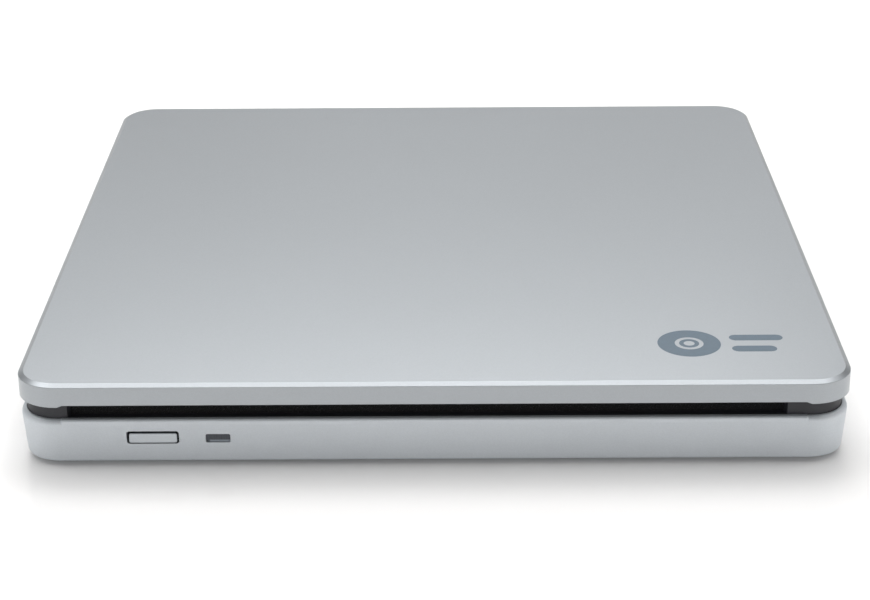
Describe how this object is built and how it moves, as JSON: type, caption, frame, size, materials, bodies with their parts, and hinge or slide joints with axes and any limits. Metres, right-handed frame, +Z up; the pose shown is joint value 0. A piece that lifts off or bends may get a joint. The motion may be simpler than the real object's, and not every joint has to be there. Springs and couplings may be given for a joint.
{
  "type": "external optical disc drive",
  "caption": "Slim slot-loading disc drive: bevelled silver lid and leaning tub around a charcoal frame with the disc slot; eject button and indicator window on the front.",
  "frame": {"origin": "centre of the footprint, at the level the rubber feet stand on", "axes": "+X to the right of someone facing the slot, +Y to the rear, +Z up; the slot faces -Y"},
  "size_m": [0.142, 0.148, 0.0155],
  "materials": {
    "silver_paint": "moulded, with a fine metallic satin paint",
    "silver_paint_tub": "moulded, with a fine metallic satin paint",
    "charcoal_plastic": "fine matt grain",
    "black_felt": "short black nap",
    "foot_rubber": "matt",
    "screw_steel": "zinc plated",
    "screw_black": "black oxide",
    "label_film": "satin silver film, blank",
    "smoked_window": "smoked translucent plastic",
    "board_green": "solder mask",
    "chip_black": "moulded epoxy",
    "plug_black": "moulded",
    "led_resin": "clear resin",
    "contact_gold": "gold flash",
    "socket_steel": "nickel plated",
    "cable_white": "flat cable film",
    "case_steel": "zinc-coated sheet",
    "cast_alloy": "die-cast, fine grain",
    "bright_steel": "ground",
    "motor_can": "plated",
    "coil_copper": "enamelled wire",
    "mat_rubber": "fine grain",
    "acetal_white": "moulded acetal",
    "acetal_black": "moulded acetal",
    "roller_rubber": "matt",
    "lens_glass": "coated optical resin",
    "magnet_nickel": "nickel plated",
    "bush_rubber": "soft"
  },
  "bodies": {
    "casing": {"top_cover": "silver_paint", "base_shell": "silver_paint_tub", "mid_frame": "charcoal_plastic", "slot_felts": "black_felt", "rubber_feet": "foot_rubber", "casing_screws": "screw_black", "drive_screws": "screw_steel", "label_plate": "label_film", "led_window": "smoked_window", "front_board": "board_green", "eject_switch": "socket_steel", "status_led": "led_resin", "usb_shell": "socket_steel", "usb_tongue": "plug_black", "usb_contacts": "contact_gold", "bridge_board": "board_green", "bridge_screws": "screw_steel", "bridge_chips": "chip_black", "front_cable": "cable_white", "cable_sockets": "plug_black", "drive_connector": "plug_black", "lower_case": "case_steel", "upper_case": "case_steel", "pivot_bushes": "bush_rubber", "slider_studs": "bright_steel", "gear_stud": "bright_steel", "loading_motor": "motor_can", "arm_studs": "bright_steel", "arm_clips": "screw_steel", "main_board": "board_green", "controller_chips": "chip_black"},
    "button": {"eject_button": "silver_paint_tub"},
    "plunger": {"switch_plunger": "acetal_black"},
    "cam_slider": {"main_slider": "acetal_black"},
    "drive_gear": {"drive_gear": "acetal_white"},
    "motor_worm": {"motor_worm": "contact_gold"},
    "traverse": {"traverse_frame": "cast_alloy", "guide_rods": "bright_steel", "sled_motor": "motor_can", "spindle_base": "case_steel", "spindle_stator": "coil_copper", "motor_screws": "screw_black"},
    "spindle": {"spindle_rotor": "bright_steel", "turntable_mat": "mat_rubber", "clamp_hub": "acetal_black"},
    "catch_1": {"clamp_catch_1": "acetal_white"},
    "catch_2": {"clamp_catch_2": "acetal_white"},
    "catch_3": {"clamp_catch_3": "acetal_white"},
    "sled": {"sled": "cast_alloy", "lens_magnets": "magnet_nickel", "rack_follower": "acetal_white"},
    "lens": {"lens_carrier": "acetal_black", "objective_lens": "lens_glass"},
    "lead_screw": {"lead_screw": "bright_steel"},
    "eject_arm": {"eject_arm": "case_steel", "eject_arm_roller": "roller_rubber"},
    "right_arm": {"right_arm": "case_steel", "right_arm_roller": "roller_rubber"},
    "left_arm": {"left_arm": "case_steel", "left_arm_roller": "roller_rubber"}
  },
  "joints": [
    {"name": "eject_button_press", "type": "slide", "parent": "casing", "child": "button", "axis": [0, 1, 0], "range_m": [0, 0.0004], "stiffness_N_per_m": 900},
    {"name": "switch_plunger_press", "type": "slide", "parent": "casing", "child": "plunger", "axis": [0, 1, 0], "range_m": [0, 0.0004]},
    {"name": "cam_slider_slide", "type": "slide", "parent": "casing", "child": "cam_slider", "axis": [-0.7071, -0.7071, 0], "range_m": [0, 0.012]},
    {"name": "traverse_tilt", "type": "hinge", "parent": "casing", "child": "traverse", "pos_m": [-0.0507, 0.0455, 0.0066], "axis": [-0.7071, -0.7071, 0], "range_deg": [0, 1.39]},
    {"name": "drive_gear_turn", "type": "hinge", "parent": "casing", "child": "drive_gear", "pos_m": [0.02404, -0.03207, 0.005], "axis": [0, 0, 1], "range_deg": [0, 163.71]},
    {"name": "motor_worm_turn", "type": "hinge", "parent": "casing", "child": "motor_worm", "pos_m": [0.0297, -0.03773, 0.0061], "axis": [-0.7071, -0.7071, 0], "range_deg": [0, 5238.5]},
    {"name": "eject_arm_swing", "type": "hinge", "parent": "casing", "child": "eject_arm", "pos_m": [0.0488, 0.047, 0.0089], "axis": [0, 0, 1], "range_deg": [-36.2, 0]},
    {"name": "right_arm_swing", "type": "hinge", "parent": "casing", "child": "right_arm", "pos_m": [0.0558, -0.012, 0.0089], "axis": [0, 0, 1], "range_deg": [-27.7, 0]},
    {"name": "left_arm_swing", "type": "hinge", "parent": "casing", "child": "left_arm", "pos_m": [-0.0582, -0.012, 0.0089], "axis": [0, 0, 1], "range_deg": [0, 27.7]},
    {"name": "spindle_spin", "type": "hinge", "parent": "traverse", "child": "spindle", "pos_m": [-0.00119, -0.00401, 0.0063], "axis": [0.0172, -0.0172, 0.9997], "continuous": true},
    {"name": "clamp_catch_1_slide", "type": "slide", "parent": "spindle", "child": "catch_1", "axis": [0.7069, -0.7069, -0.0243], "range_m": [0, 0.0006], "stiffness_N_per_m": 300},
    {"name": "clamp_catch_2_slide", "type": "slide", "parent": "spindle", "child": "catch_2", "axis": [0.2589, 0.9658, 0.0121], "range_m": [0, 0.0006], "stiffness_N_per_m": 300},
    {"name": "clamp_catch_3_slide", "type": "slide", "parent": "spindle", "child": "catch_3", "axis": [-0.9658, -0.2589, 0.0121], "range_m": [0, 0.0006], "stiffness_N_per_m": 300},
    {"name": "sled_travel", "type": "slide", "parent": "traverse", "child": "sled", "axis": [-0.7069, 0.7069, 0.0243], "range_m": [0, 0.034]},
    {"name": "lead_screw_turn", "type": "hinge", "parent": "traverse", "child": "lead_screw", "pos_m": [-0.03727, 0.00803, 0.00553], "axis": [-0.7069, 0.7069, 0.0243], "range_deg": [-4080, 0]},
    {"name": "lens_focus", "type": "slide", "parent": "sled", "child": "lens", "axis": [0.0172, -0.0172, 0.9997], "range_m": [-0.0003, 0.0003], "stiffness_N_per_m": 40}
  ],
  "couplings": [
    {"joint": "switch_plunger_press", "follows": "eject_button_press", "ratio": 1},
    {"joint": "traverse_tilt", "follows": "cam_slider_slide", "rad_per_m": 2.024},
    {"joint": "drive_gear_turn", "follows": "cam_slider_slide", "rad_per_m": 238.1},
    {"joint": "motor_worm_turn", "follows": "cam_slider_slide", "rad_per_m": 7619},
    {"joint": "eject_arm_swing", "follows": "cam_slider_slide", "rad_per_m": -52.651},
    {"joint": "right_arm_swing", "follows": "cam_slider_slide", "rad_per_m": -40.288},
    {"joint": "left_arm_swing", "follows": "cam_slider_slide", "rad_per_m": 40.288},
    {"joint": "lead_screw_turn", "follows": "sled_travel", "rad_per_m": -2094.4}
  ]
}
